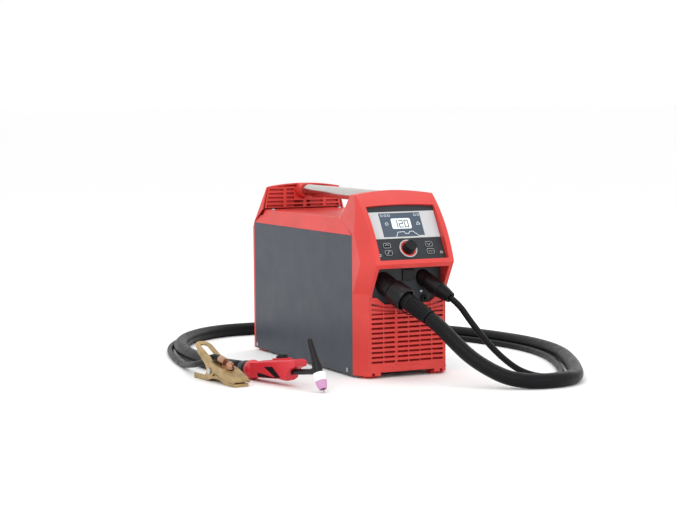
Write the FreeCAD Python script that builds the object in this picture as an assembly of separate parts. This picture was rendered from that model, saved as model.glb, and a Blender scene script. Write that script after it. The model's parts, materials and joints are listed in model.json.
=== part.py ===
import FreeCAD, Part
import math
import os

# Portable TIG welding power source with its torch, torch hose, work lead and work clamp.
# Millimetres. +X is right seen from the front, -Y is the front, +Z is up.
# The origin is the bottom centre of the housing, cords and what is on them left out.

V = FreeCAD.Vector

# ---------------------------------------------------------------- driving dimensions
GAP = 0.3                      # assembly gap between neighbouring pieces

# housing, in the machine's own length: the front nose is at NOSE_Y, the gland's end at TAIL_Y
HALF_W = 105.0                 # side panels' outer faces
NOSE_Y = -279.0
NOSE_Z = 229.0
PANEL_FRONT = -209.0
COVER_BACK = -208.7            # the front cover's edge, just ahead of the side panels
PANEL_REAR = 279.0
PANEL_BOTTOM = 5.6
PANEL_TOP = 283.2
SHEET = 1.5
WALL = 3.0                     # moulded wall of the red covers
REAR_Y = 287.0
TAIL_Y = 309.0
SHIFT_Y = -(NOSE_Y + TAIL_Y) / 2.0

# front cover
GRILLE_Y = -243.0
GRILLE_HALF = 86.0
BULGE_Z = 168.0                # where the lower face starts to lean forward
FACE_MID = (-244.0, 299.5)     # a point of the curved upper face (Y, Z)
FACE_TOP = (-189.0, 361.0)
TOP_HALF = 88.0                # half width at the top corners
TOP_CORNER_Z = 361.0
CROWN_Z = 369.0
HOOD_FOOT = (-137.0, 313.0)    # rear foot of the hood on the deck (Y, Z)
HOOD_BACK = (-165.0, 361.0)
HOOD_SIDE = 95.0
SIDE_TOP_Z = 286.0

# deck and rear block
DECK_HALF = 92.0
DECK_Z = 312.6
BLOCK_Y = 250.0
BLOCK_BACK_Y = 258.0

# handle
HANDLE_R = 12.5
HANDLE_Z = 354.0
HANDLE_FRONT = -176.0

# control fascia: a flat panel leaning back, with its own local axes
FASCIA_FOOT = V(0, -265.0, 238.0)
FASCIA_SLOPE = 0.585           # how far it goes back for each millimetre up
FASCIA_HALF = 76.0
FASCIA_H = 114.0
FASCIA_DROP = 6.5              # how far it reaches below its frame's origin
FASCIA_ARCH = 4.0
KNOB_AT = (-3.5, 21.5)
KNOB_R = 12.5
KNOB_H = 17.0
KEY_SIZE = (17.0, 11.7)
KEY_AT = [(-49.0, 29.6), (-49.0, 13.8), (44.3, 29.6), (44.3, 13.8)]
LCD = (-50.0, 41.5, 48.0, 100.5)
BAND = (44.5, 103.4)
FASCIA_SCREWS = [(-69.5, 9.0), (68.0, 10.5)]

# connector recess
RECESS_HALF = 78.0
RECESS_Z = (161.0, 220.5)
SILL = (50.0, 68.0, 14.0)      # half widths of the sill's dip at its floor and rim, and its depth
PANEL_Y = -238.0
TORCH_AT = V(-46.0, -238.0, 186.0)
TORCH_DIR = V(0.40, -0.77, -0.50)
WORK_AT = V(40.0, -238.0, 194.0)
WORK_DIR = V(0.38, -0.80, -0.47)
REMOTE_AT = (5.0, 202.5)
FLAP_PIVOT_UP = 10.6           # the flap's pivot above the remote socket's centre
GAS_AT = (39.0, 155.0)

# lower grille
GRILLE_BOTTOM = 12.0
GRILLE_TOP = 160.7
SLOT_ROWS = 13
SLOT_PITCH = 9.6
SLOT_H = 4.2
SLOT_FIRST_Z = 30.5
SLOT_COLUMNS = [(-80, -54), (-52, -28), (-23, 1.3), (3, 27), (29, 54), (56, 80)]

# feet
FOOT_X = (60.0, 88.0)
FOOT_BACK = -206.6
FOOT_HOLE_X = 76.0
FOOT_HOLE_Z = 8.0
FOOT_HOLE_R = 3.5

# fan
FAN_Z = 148.0
FAN_R = 56.0
FAN_Y = (240.0, 276.0)

# cords
HOSE_D = 29.0
CABLE_D = 12.5
FLOOR_GAP = 0.3
HZ = HOSE_D / 2 + FLOOR_GAP
CZ = CABLE_D / 2 + FLOOR_GAP

# torch: ball end of the handle, and the head, in the machine's frame
BALL_AT = V(-286.0, -130.0, 20.0)
BALL_R = 19.5
HEAD_AT = V(-239.0, -330.0, 44.0)
NOZZLE_DIR = V(0.029, -0.523, -0.853)
NECK_DROP = -6.0               # the neck's line, from the handle's axis

# clamp: jaw tip on the floor, and the direction to its handles
CLAMP_TIP = V(-345.0, -212.0, 0.0)
CLAMP_BACK = V(-0.12, 0.993, 0.0)
CLAMP_PIVOT = (95.0, 22.0)     # along the clamp, and up
PIN_R = 3.5
RUNNING = 0.05                 # radial running clearance


# ---------------------------------------------------------------- small helpers
def box(x0, x1, y0, y1, z0, z1):
    return Part.makeBox(x1 - x0, y1 - y0, z1 - z0, V(x0, y0, z0))


def cyl(base, axis, radius, height):
    return Part.makeCylinder(radius, height, base, axis)


def cone(base, axis, r0, r1, height):
    return Part.makeCone(r0, r1, height, base, axis)


def tube(base, axis, outer, inner, height):
    reach = V(axis).normalize()
    hole = cyl(base - reach, axis, inner, height + 2)
    return cyl(base, axis, outer, height).cut(hole)


def prism(points, sweep):
    """A closed flat outline pushed along a vector."""
    return Part.Face(Part.makePolygon(points + [points[0]])).extrude(sweep)


def prism_x(points_yz, x0, x1):
    return prism([V(x0, y, z) for y, z in points_yz], V(x1 - x0, 0, 0))


def prism_y(points_xz, y0, y1):
    return prism([V(x, y0, z) for x, z in points_xz], V(0, y1 - y0, 0))


def fuse(shapes):
    """One solid from pieces that overlap."""
    result = shapes[0]
    for shape in shapes[1:]:
        result = result.fuse(shape)
    return result.removeSplitter()


def group(shapes):
    """Separate solids kept together in one node."""
    return Part.Compound(shapes)


def cut_all(shape, tools):
    for tool in tools:
        shape = shape.cut(tool)
    return shape


def mirror_x(shape):
    return shape.mirror(V(0, 0, 0), V(1, 0, 0))


def both_sides(shape):
    return [shape, mirror_x(shape)]


def beyond(point, normal, size=900.0):
    """A block that fills the space beyond a plane."""
    block = Part.makeBox(size, size, size, V(-size / 2, -size / 2, 0))
    block.Placement = FreeCAD.Placement(point, FreeCAD.Rotation(V(0, 0, 1), normal))
    return block


def plane_normal(a, b, c):
    return (b - a).cross(c - a).normalize()


def local_frame(origin, x_axis, up=V(0, 0, 1)):
    """Placement whose X runs along x_axis and whose Z is as near to up as it can be."""
    x = V(x_axis).normalize()
    y = up.cross(x).normalize()
    z = x.cross(y)
    return FreeCAD.Placement(origin, FreeCAD.Rotation(x, y, z, "ZXY"))


def placed(shape, frame):
    moved = shape.copy()
    moved.Placement = frame.multiply(moved.Placement)
    return moved


def revolve_x(profile):
    """Turn a closed (x, r) outline about the X axis."""
    points = [V(x, 0, r) for x, r in profile]
    face = Part.Face(Part.makePolygon(points + [points[0]]))
    return face.revolve(V(0, 0, 0), V(1, 0, 0), 360)


# ---------------------------------------------------------------- cords
def rounded_wire(points, cut=0.45):
    """Straight runs joined by tangent arcs as large as their two runs allow."""
    edges = []
    radii = []
    start = points[0]
    for i in range(1, len(points) - 1):
        before, corner, after = points[i - 1], points[i], points[i + 1]
        a = (before - corner).normalize()
        b = (after - corner).normalize()
        turn = math.pi - a.getAngle(b)
        reach = cut * min((before - corner).Length, (after - corner).Length)
        radius = reach / math.tan(turn / 2)
        radii.append(radius)
        p = corner + a * reach
        q = corner + b * reach
        centre = corner + (a + b).normalize() * math.hypot(radius, reach)
        middle = centre + (corner - centre).normalize() * radius
        edges.append(Part.LineSegment(start, p).toShape())
        edges.append(Part.Arc(p, middle, q).toShape())
        start = q
    edges.append(Part.LineSegment(start, points[-1]).toShape())
    return Part.Wire(edges), radii


def cord_tube(name, points, diameter):
    wire, radii = rounded_wire(points)
    first = (points[1] - points[0]).normalize()
    section = Part.Wire([Part.makeCircle(diameter / 2, points[0], first)])
    solid = wire.makePipeShell([section], True, False, 1)
    expected = math.pi * diameter ** 2 / 4 * wire.Length
    print(name, "length", round(wire.Length, 1), "least radius", round(min(radii), 1),
          "radii", [round(r) for r in radii], "volume ratio", round(solid.Volume / expected, 4))
    return solid


TORCH_U = V(TORCH_DIR).normalize()
WORK_U = V(WORK_DIR).normalize()
BOOT_END = TORCH_AT + TORCH_U * 119.0
WORK_END = WORK_AT + WORK_U * 74.0
TORCH_T = (HEAD_AT - BALL_AT).normalize()
HOSE_LAST = V(-307, 3, HZ)     # the hose's last corner, from where it runs straight into the cuff
CUFF_T = (BALL_AT - HOSE_LAST).normalize()
CUFF_L = 38.0
CUFF_END = BALL_AT - CUFF_T * CUFF_L

HOSE_ROUTE = [
    BOOT_END,
    BOOT_END + TORCH_U * 26.0,
    V(27, -384, 84),
    V(45, -416, 56),
    V(68, -448, 35),
    V(93, -477, 20),
    V(127, -501, HZ),
    V(167, -510.5, HZ),
    V(207.5, -503.5, HZ),
    V(242, -481, HZ),
    V(272, -437, HZ),
    V(320, -351, HZ),
    V(354, -282, HZ),
    V(390, -202, HZ),
    V(416, -110, HZ),
    V(425, -12, HZ),
    V(414, 85, HZ),
    V(393, 178, HZ),
    V(360, 265, HZ),
    V(308, 345, HZ),
    V(238, 416, HZ),
    V(150, 475, HZ),
    V(55, 518, HZ),
    V(-40, 537, HZ),
    V(-122, 514, HZ),
    V(-194, 453, HZ),
    V(-248, 370, HZ),
    V(-284, 275, HZ),
    V(-303, 180, HZ),
    V(-311, 90, HZ),
    HOSE_LAST,
    CUFF_END,
]

CABLE_ROUTE = [
    WORK_END - WORK_U * 12.0,
    WORK_END + WORK_U * 20.0,
    V(90, -333, 118),
    V(105, -354, 88),
    V(121, -374, 62),
    V(137, -393, 41),
    V(158, -410, 22),
    V(190, -422, 10),
    V(228, -419, CZ),
    V(262, -397.5, CZ),
    V(290, -353, CZ),
    V(333, -270, CZ),
    V(366, -192, CZ),
    V(392, -105, CZ),
    V(401, -14, CZ),
    V(391, 76, CZ),
    V(376, 142, CZ),
    V(357, 204, CZ),
    V(322, 281, CZ),
    V(276, 345, CZ),
    V(226, 394, CZ),
    V(190, 424, 24),
    V(159, 452, 48),
    V(113, 503, 49),
    V(80, 538, 25),
    V(42, 566, CZ),
    V(-10, 582, CZ),
    V(-70, 574, CZ),
    V(-138, 540, CZ),
    V(-196, 487, CZ),
    V(-246, 420, CZ),
    V(-284, 345, CZ),
    V(-311, 266, CZ),
    V(-330, 192, CZ),
    V(-343, 128, CZ),
    V(-352, 74, 9),
    V(-360, 26, 15),
    V(-366.5, -20, 22),
    V(-363.6, -60, 31),
]
TAIL_GAP = 1.0                 # the lead is parted here so that the clamp's arm can swing
TAIL_START = 21.0              # from the last corner of the long part


# ---------------------------------------------------------------- front cover
def face_circle():
    """Centre and radius of the curved upper face, through its three points (Y, Z)."""
    ax, ay = NOSE_Y, NOSE_Z
    bx, by = FACE_MID
    cx, cy = FACE_TOP
    d = 2 * (ax * (by - cy) + bx * (cy - ay) + cx * (ay - by))
    sa, sb, sc = ax * ax + ay * ay, bx * bx + by * by, cx * cx + cy * cy
    ux = (sa * (by - cy) + sb * (cy - ay) + sc * (ay - by)) / d
    uy = (sa * (cx - bx) + sb * (ax - cx) + sc * (bx - ax)) / d
    return ux, uy, math.hypot(ax - ux, ay - uy)


def crown_bar(y0, y1, low_z, inset):
    """The arched top, as a long bar that everything above the arch is cut to."""
    half = TOP_HALF + 40.0
    rise = CROWN_Z - TOP_CORNER_Z
    radius = (TOP_HALF ** 2 + rise ** 2) / (2 * rise) - inset
    centre_z = CROWN_Z - inset - radius
    edge_z = centre_z + math.sqrt(radius ** 2 - half ** 2)
    left = V(-half, y0, edge_z)
    right = V(half, y0, edge_z)
    top = V(0, y0, CROWN_Z - inset)
    edges = [
        Part.Arc(left, top, right).toShape(),
        Part.LineSegment(right, V(half, y0, low_z)).toShape(),
        Part.LineSegment(V(half, y0, low_z), V(-half, y0, low_z)).toShape(),
        Part.LineSegment(V(-half, y0, low_z), left).toShape(),
    ]
    return Part.Face(Part.Wire(edges)).extrude(V(0, y1 - y0, 0))


def lower_front(inset, back):
    half = HALF_W - inset
    block = box(-half, half, GRILLE_Y + inset, back, 5.6 + inset, BULGE_Z)
    corner = V(GRILLE_HALF - inset, GRILLE_Y + inset, 0)
    slope = V(GRILLE_Y - PANEL_FRONT, GRILLE_HALF - HALF_W, 0).normalize() * -1
    slope = V(abs(slope.x), -abs(slope.y), 0)
    side = beyond(corner - V(0, 0, 50) + slope * 0.01, slope)
    return cut_all(block, both_sides(side))


def upper_front(inset, back):
    """The leaning nose and the hood above it."""
    cy, cz, radius = face_circle()
    radius -= inset
    # just over the crown: higher up, the inner face and the inner back would cross
    top_z = CROWN_Z + 0.5 - inset
    top_y = cy - math.sqrt(radius ** 2 - (top_z - cz) ** 2)
    lean = (HOOD_BACK[0] - HOOD_FOOT[0]) / (HOOD_BACK[1] - HOOD_FOOT[1])
    back_top = HOOD_FOOT[0] + lean * (top_z - HOOD_FOOT[1]) - inset * 1.17
    face_start_y = cy - math.sqrt(radius ** 2 - (NOSE_Z - cz) ** 2)
    half = HALF_W - inset
    pts = [V(-half, y, z) for y, z in [
        (face_start_y, NOSE_Z),
        (GRILLE_Y + inset, BULGE_Z),
        (back, BULGE_Z),
        (back, SIDE_TOP_Z - inset * 1.07 + (back - COVER_BACK) * 0.386),
        (HOOD_FOOT[0] - inset * 0.45, HOOD_FOOT[1] - inset * 1.23),
        (back_top, top_z),
        (top_y, top_z),
    ]]
    mid_z = (NOSE_Z + top_z) / 2
    mid = V(-half, cy - math.sqrt(radius ** 2 - (mid_z - cz) ** 2), mid_z)
    edges = [Part.LineSegment(pts[i], pts[i + 1]).toShape() for i in range(6)]
    edges.append(Part.Arc(pts[6], mid, pts[0]).toShape())
    block = Part.Face(Part.Wire(edges)).extrude(V(2 * half, 0, 0))
    # chamfers below and above the nose, and the leaning sides of the hood
    grille = V(GRILLE_HALF, GRILLE_Y, BULGE_Z)
    side = V(HALF_W, PANEL_FRONT, BULGE_Z)
    nose = V(GRILLE_HALF, NOSE_Y, NOSE_Z)
    side_top = V(HALF_W, PANEL_FRONT, SIDE_TOP_Z)
    top = V(TOP_HALF, FACE_TOP[0], FACE_TOP[1])
    hood = V(HOOD_SIDE, HOOD_FOOT[0], HOOD_FOOT[1])
    cuts = [
        beyond_plane(grille, side, nose, inset),
        beyond_plane(side_top, top, hood, inset),
        ahead_of_chamfer(inset),
    ]
    for cut in cuts:
        block = cut_all(block, both_sides(cut))
    return block.common(crown_bar(-400, 400, 100, inset))


def beyond_plane(a, b, c, inset):
    """What lies outside a plane through three points of the right side, moved in by the wall."""
    normal = plane_normal(a, b, c)
    if normal.x < 0:
        normal = normal * -1
    return beyond(a - normal * inset, normal)


def ahead_of_chamfer(inset):
    """What lies ahead of the chamfer beside the face: the face's arc swept outwards and back."""
    cy, cz, radius = face_circle()
    top_z = CROWN_Z + 4
    mid_z = (NOSE_Z + top_z) / 2
    sweep = V(HALF_W - GRILLE_HALF, PANEL_FRONT - GRILLE_Y, 0)
    foot = V(GRILLE_HALF, NOSE_Y, NOSE_Z)
    mid = V(GRILLE_HALF, cy - math.sqrt(radius ** 2 - (mid_z - cz) ** 2), mid_z)
    top = V(GRILLE_HALF, cy - math.sqrt(radius ** 2 - (top_z - cz) ** 2), top_z)
    far_top = V(GRILLE_HALF, NOSE_Y - 60, top_z)
    far_foot = V(GRILLE_HALF, NOSE_Y - 60, NOSE_Z)
    edges = [
        Part.Arc(foot, mid, top).toShape(),
        Part.LineSegment(top, far_top).toShape(),
        Part.LineSegment(far_top, far_foot).toShape(),
        Part.LineSegment(far_foot, foot).toShape(),
    ]
    tool = Part.Face(Part.Wire(edges)).extrude(sweep * 2)
    tool.translate(V(-sweep.y, sweep.x, 0).normalize() * inset)
    return tool


def fascia_frame():
    up = V(0, FASCIA_SLOPE, 1).normalize()
    out = V(0, -1, FASCIA_SLOPE).normalize()
    return FreeCAD.Placement(FASCIA_FOOT, FreeCAD.Rotation(V(1, 0, 0), up, out, "ZXY"))


FASCIA = fascia_frame()


def fascia_outline(grow, depth0, depth1):
    """The fascia's outline with its arched top, from one depth to another."""
    half = FASCIA_HALF + grow
    top = FASCIA_H + grow
    corner_left = V(-half, top, depth0)
    corner_right = V(half, top, depth0)
    arch = V(0, top + FASCIA_ARCH, depth0)
    foot_left = V(-half, -FASCIA_DROP - grow, depth0)
    foot_right = V(half, -FASCIA_DROP - grow, depth0)
    edges = [
        Part.LineSegment(foot_left, foot_right).toShape(),
        Part.LineSegment(foot_right, corner_right).toShape(),
        Part.Arc(corner_right, arch, corner_left).toShape(),
        Part.LineSegment(corner_left, foot_left).toShape(),
    ]
    return Part.Face(Part.Wire(edges)).extrude(V(0, 0, depth1 - depth0))


def recess_box(grow):
    """The connector recess, which dips in the middle of its sill."""
    low, high = RECESS_Z
    h = RECESS_HALF + grow
    outline = [(-h, high + grow), (-h, low - grow), (-SILL[1], low - grow), (-SILL[0], low - SILL[2] - grow),
               (SILL[0], low - SILL[2] - grow), (SILL[1], low - grow), (h, low - grow), (h, high + grow)]
    return prism_y(outline, -300, PANEL_Y + grow)


def front_foot():
    x0, x1 = FOOT_X
    side = prism_x([(-226, 0), (-243, 17), (FOOT_BACK, 17), (FOOT_BACK, 0)], x0, x1)
    return side.cut(box(x0 + 5, x1 - 5, -222, -190, 12, 18))


def front_cover():
    outer = fuse([lower_front(0, COVER_BACK), upper_front(0, COVER_BACK)])
    inner = fuse([lower_front(WALL, -200), upper_front(WALL, -200)])
    keep = [recess_box(WALL), placed(fascia_outline(WALL, -5, 40), FASCIA)]
    inner = cut_all(inner, keep)
    body = outer.cut(inner)
    body = body.cut(recess_box(0))
    body = body.cut(box(-80.8, 80.8, PANEL_Y - 0.05, -225, 137.7, 223.7))
    body = body.cut(placed(fascia_outline(0, -14, 40), FASCIA))
    body = body.cut(cyl(V(0, HANDLE_FRONT - 1, HANDLE_Z), V(0, 1, 0), HANDLE_R + GAP, 90))
    body = body.fuse(group(both_sides(front_foot())))
    body = body.cut(box(-84, 84, -250, -236, GRILLE_BOTTOM, 143.7))
    body = body.cut(box(-84, 84, -250, -239.7, GRILLE_BOTTOM, GRILLE_TOP + 0.3))
    # underside between the feet, and a fixing hole through each foot
    body = body.cut(box(-FOOT_X[0], FOOT_X[0], -250, -200, -1, GRILLE_BOTTOM))
    for x in (-FOOT_HOLE_X, FOOT_HOLE_X):
        body = body.cut(cyl(V(x, -260, FOOT_HOLE_Z), V(0, 1, 0), FOOT_HOLE_R, 90))
    return largest(body)


def largest(shape):
    """The one real solid of a cut shape, without loose crumbs."""
    solids = sorted(shape.Solids, key=lambda s: s.Volume)
    return solids[-1]


# ---------------------------------------------------------------- lower grille
def slot_path(row, x0, x1):
    """A slot's four corners: straight rows, and two top rows that fall towards the middle."""
    z = SLOT_FIRST_Z + row * SLOT_PITCH
    fall = {SLOT_ROWS - 1: 8.0, SLOT_ROWS - 2: 5.0}.get(row, 0.0)

    def drop(x):
        return fall * min(1.0, max(0.0, (80 - abs(x)) / 38.0))

    za, zb = z - drop(x0), z - drop(x1)
    return [(x0, za), (x1, zb), (x1, zb + SLOT_H), (x0, za + SLOT_H)]


def front_grille():
    top = GRILLE_TOP
    dip = top - SILL[2]
    outline = [(-83.7, GRILLE_BOTTOM), (83.7, GRILLE_BOTTOM), (83.7, top), (SILL[1], top),
               (SILL[0], dip), (-SILL[0], dip), (-SILL[1], top), (-83.7, top)]
    plate = prism_y(outline, GRILLE_Y, GRILLE_Y + 3.2)
    raised = box(-25.5, 28, GRILLE_Y - 1.2, GRILLE_Y + 1, SLOT_FIRST_Z - 5, 136)
    plate = plate.fuse(raised)
    slots = []
    for row in range(SLOT_ROWS):
        for x0, x1 in SLOT_COLUMNS:
            slots.append(prism_y(slot_path(row, x0, x1), GRILLE_Y - 3, GRILLE_Y + 6))
    plate = plate.cut(Part.Compound(slots))
    return plate


# ---------------------------------------------------------------- connectors
def connector_panel():
    plate = box(-80.5, 80.5, PANEL_Y, PANEL_Y + 3, 138, 223)
    torch_hole = cyl(TORCH_AT - TORCH_U * 30, TORCH_U, 21.3, 60)
    work_hole = cyl(WORK_AT - WORK_U * 30, WORK_U, 16.8, 60)
    remote = box(REMOTE_AT[0] - 10.5, REMOTE_AT[0] + 10.5, -260, -200, REMOTE_AT[1] - 7, REMOTE_AT[1] + 7)
    gas = cyl(V(GAS_AT[0], -260, GAS_AT[1]), V(0, 1, 0), 6.3, 60)
    return cut_all(plate, [torch_hole, work_hole, remote, gas])


def angled_socket(at, direction, radius, bore):
    """A current socket whose barrel is set at the angle that its plug leaves at."""
    barrel = cyl(at - direction * 26, direction, radius, 34)
    hole = cyl(at - direction * 20, direction, bore, 40)
    return barrel.cut(hole)


def torch_socket():
    return angled_socket(TORCH_AT, TORCH_U, 21.0, 9.3)


def work_socket():
    return angled_socket(WORK_AT, WORK_U, 16.5, 6.8)


def remote_socket():
    """Socket well with its rim, and the pin and ears that carry the flap."""
    x, z = REMOTE_AT
    body = box(x - 10.2, x + 10.2, PANEL_Y - 1, PANEL_Y + 9, z - 6.7, z + 6.7)
    rim = box(x - 13, x + 13, PANEL_Y - 1.2, PANEL_Y - GAP * 0.5, z - 10, z + 8.4)
    well = box(x - 8, x + 8, PANEL_Y - 5, PANEL_Y + 8, z - 5, z + 5)
    return group([fuse([body, rim]).cut(well), remote_hinge()])


def remote_cap():
    """Sprung dust flap that swings up about its top edge."""
    x, z = REMOTE_AT
    leaf = box(x - 13.5, x + 13.5, PANEL_Y - 3.4, PANEL_Y - 1.6, z - 10.5, z + FLAP_PIVOT_UP - 0.8)
    knuckle = cyl(V(x - 11, PANEL_Y - 2.9, z + FLAP_PIVOT_UP), V(1, 0, 0), 1.6, 22)
    bore = cyl(V(x - 12, PANEL_Y - 2.9, z + FLAP_PIVOT_UP), V(1, 0, 0), 0.75, 24)
    lip = box(x - 5, x + 5, PANEL_Y - 5.0, PANEL_Y - 3.0, z - 10.5, z - 8.6)
    ear_room = [box(x0, x0 + 3.2, PANEL_Y - 6, PANEL_Y, z + 7.8, z + 13) for x0 in (x - 14.2, x + 11.0)]
    return cut_all(fuse([leaf, knuckle, lip]), [bore] + ear_room)


def remote_hinge():
    """Pin and its two ears."""
    x, z = REMOTE_AT
    y = PANEL_Y - 2.9
    pin = cyl(V(x - 13.6, y, z + FLAP_PIVOT_UP), V(1, 0, 0), 0.7, 27.2)
    ears = []
    for x0 in (x - 13.6, x + 11.4):
        ears.append(box(x0, x0 + 2.2, PANEL_Y - 4.4, PANEL_Y - 0.02, z + 9.0, z + 12.2))
    return fuse([pin] + ears)


def gas_socket():
    x, z = GAS_AT
    barrel = tube(V(x, PANEL_Y + 14, z), V(0, -1, 0), 6.0, 3.2, 19)
    collar = tube(V(x, PANEL_Y - GAP * 0.3, z), V(0, -1, 0), 7.4, 5.8, 3)
    return fuse([barrel, collar])


def torch_plug():
    """Fat moulded plug body with a core that reaches into its socket, hollow where the boot leaves it."""
    outer = [(-14, 0), (-14, 9.0), (8.4, 9.0), (8.4, 20.4), (18.5, 20.8), (22.5, 23.8),
             (50, 24.6), (56, 23.6)]
    cavity = [(56, 21.0), (46, 19.6), (46, 0)]
    return placed(revolve_x(outer + cavity), local_frame(TORCH_AT, TORCH_U))


def torch_plug_boot():
    """Collar and ribbed boot that holds the hose."""
    profile = [(46.3, 0), (46.3, 16.8), (68, 16.6), (69.5, 15.0)]
    for i in range(7):
        x = 72 + i * 6.0
        r = 16.8 - i * 0.12
        profile += [(x, r - 1.2), (x + 0.8, r), (x + 3.8, r), (x + 4.6, r - 1.2)]
    profile += [(119, 15.2), (119, 0)]
    return placed(revolve_x(profile), local_frame(TORCH_AT, TORCH_U))


def work_plug():
    core = [(-14, 0), (-14, 6.5), (8.4, 6.5), (8.4, 15.4), (11, 16.1), (44, 16.3), (45, 15.7), (45, 0)]
    return placed(revolve_x(core), local_frame(WORK_AT, WORK_U))


def work_plug_sleeve():
    outer = [(45.3, 0), (45.3, 14.8), (46.3, 15.6), (60, 13.6), (74, 10.8), (74, 7.2),
             (62, 6.8), (62, 0)]
    return placed(revolve_x(outer), local_frame(WORK_AT, WORK_U))


# ---------------------------------------------------------------- control panel
def on_fascia(shape):
    return placed(shape, FASCIA)


def lcd_box(grow, n0, n1):
    x0, x1, s0, s1 = LCD
    return box(x0 - grow, x1 + grow, s0 - grow, s1 + grow, n0, n1)


def control_fascia():
    plate = fascia_outline(-0.25, -3, 0)
    holes = [lcd_box(0.0, -9, 9), cyl(V(KNOB_AT[0], KNOB_AT[1], -9), V(0, 0, 1), 5.4, 20)]
    w, h = KEY_SIZE
    for x, s in KEY_AT:
        holes.append(box(x - w / 2 - 0.4, x + w / 2 + 0.4, s - h / 2 - 0.4, s + h / 2 + 0.4, -9, 9))
    for x, s in FASCIA_SCREWS:
        holes.append(cyl(V(x, s, -9), V(0, 0, 1), 1.9, 20))
    return on_fascia(cut_all(plate, holes))


def silver_band():
    half = FASCIA_HALF - 1.0
    plate = box(-half, half, BAND[0], BAND[1], 0.02, 0.9)
    return on_fascia(plate.cut(lcd_box(0.2, -5, 5)))


def display_window():
    return on_fascia(lcd_box(-0.2, -2.6, 0.6))


def control_board():
    """Circuit board, with the display module standing on it."""
    x0, x1, s0, s1 = LCD
    board = box(-71, 71, 5, 110, -13.2, -11.6)
    module = box(x0 - 2, x1 + 2, s0 - 2, s1 + 2, -11.7, -3.4)
    return on_fascia(fuse([board, module]))


def key(x, s):
    w, h = KEY_SIZE
    cap = box(x - w / 2, x + w / 2, s - h / 2, s + h / 2, -2.8, 0.9)
    stem = cyl(V(x, s, -10.6), V(0, 0, 1), 2.0, 8.2)
    return on_fascia(fuse([cap, stem]))


def knob_ring():
    x, s = KNOB_AT
    ring = tube(V(x, s, 0.05), V(0, 0, 1), 19.0, 17.0, 1.3)
    return on_fascia(ring)


def knob_light_ring():
    x, s = KNOB_AT
    ring = tube(V(x, s, 0.05), V(0, 0, 1), 16.7, 13.6, 0.8)
    return on_fascia(ring)


def encoder_body():
    x, s = KNOB_AT
    case = box(x - 7, x + 7, s - 7, s + 7, -11.4, -4.4)
    bush = cyl(V(x, s, -4.6), V(0, 0, 1), 5.0, 5.0)
    bore = cyl(V(x, s, -10.4), V(0, 0, 1), 3.0 + RUNNING, 20)
    return on_fascia(fuse([case, bush]).cut(bore))


def encoder_plunger():
    x, s = KNOB_AT
    return on_fascia(tube(V(x, s, -9.4), V(0, 0, 1), 3.0, 1.6 + RUNNING, 10.6))


def adjusting_knob():
    """Knurled cap on the encoder's shaft."""
    x, s = KNOB_AT
    base = V(x, s, 1.7)
    cap = fuse([
        cone(base, V(0, 0, 1), KNOB_R, KNOB_R - 0.9, KNOB_H - 1.5),
        cone(base + V(0, 0, KNOB_H - 1.5), V(0, 0, 1), KNOB_R - 0.9, KNOB_R - 2.6, 1.5),
    ])
    grooves = []
    for i in range(24):
        a = 2 * math.pi * i / 24
        at = V(x + (KNOB_R + 0.3) * math.cos(a), s + (KNOB_R + 0.3) * math.sin(a), 3.0)
        grooves.append(cyl(at, V(0, 0, 1), 0.8, KNOB_H - 4))
    shaft = cyl(V(x, s, -9.0), V(0, 0, 1), 1.6, 20.0)
    mark = box(x - 0.7, x + 0.7, s + 3.5, s + 8.5, 1.7 + KNOB_H - 0.5, 3 + KNOB_H)
    return on_fascia(fuse([cap.cut(Part.Compound(grooves)).cut(mark), shaft]))


# ---------------------------------------------------------------- panels, deck, rear
def screw(at, axis, r_head, head, r_shank=2.0, length=6.0):
    """Dome-headed screw whose head stands on the surface at a point."""
    axis = V(axis).normalize()
    dome = fuse([cyl(at, axis, r_head, head * 0.6),
                 cone(at + axis * head * 0.6, axis, r_head, r_head * 0.7, head * 0.4)])
    socket = cyl(at + axis * head * 0.45, axis, r_head * 0.42, head)
    shank = cyl(at - axis * length, axis, r_shank, length + head * 0.2)
    return fuse([dome.cut(socket), shank])


SIDE_SCREWS = [(-184.0, 13.5), (270.0, 13.5)]


def side_panel(side):
    outer = HALF_W * side
    inner = (HALF_W - SHEET) * side
    x0, x1 = min(outer, inner), max(outer, inner)
    plate = box(x0, x1, PANEL_FRONT + 0.6, PANEL_REAR - 0.4, PANEL_BOTTOM, PANEL_TOP)
    lip = box(min(inner, inner - 9 * side), max(inner, inner - 9 * side),
              PANEL_FRONT + 6, PANEL_REAR - 6, PANEL_TOP - SHEET, PANEL_TOP)
    holes = []
    for y, z in SIDE_SCREWS:
        holes.append(cyl(V(-130 if side < 0 else 95, y, z), V(1, 0, 0), 2.2, 40))
    return cut_all(fuse([plate, lip]), holes)


def side_screws():
    heads = []
    for y, z in SIDE_SCREWS:
        for side in (-1, 1):
            heads.append(screw(V(HALF_W * side + 0.02 * side, y, z), V(side, 0, 0), 4.4, 1.4, 2.0, 5.0))
    return group(heads)


def base_chassis():
    half = HALF_W - SHEET - 0.4
    front, rear = -206.0, 276.0
    floor = box(-half, half, front, rear, 8, 10)
    walls = [box(-half, -half + 2, front, rear, 8, 34), box(half - 2, half, front, rear, 8, 34),
             box(-half, half, front + 12, front + 14, 8, 60)]
    tray = fuse([floor] + walls)
    vents = []
    for i in range(8):
        y = -150 + i * 24
        vents.append(box(-60, 60, y, y + 8, 5, 15))
    holes = []
    for side in (-1, 1):
        for y, z in SIDE_SCREWS:
            holes.append(cyl(V(side * half - 10 * side, y, z), V(side, 0, 0), 2.1, 30))
    return cut_all(tray, vents + holes)


def deck_profile(inset):
    w, d = HALF_W - inset * 1.1, DECK_HALF - inset * 0.6
    return [(-w, PANEL_TOP + GAP), (-d, DECK_Z - inset), (d, DECK_Z - inset), (w, PANEL_TOP + GAP)]


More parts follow.
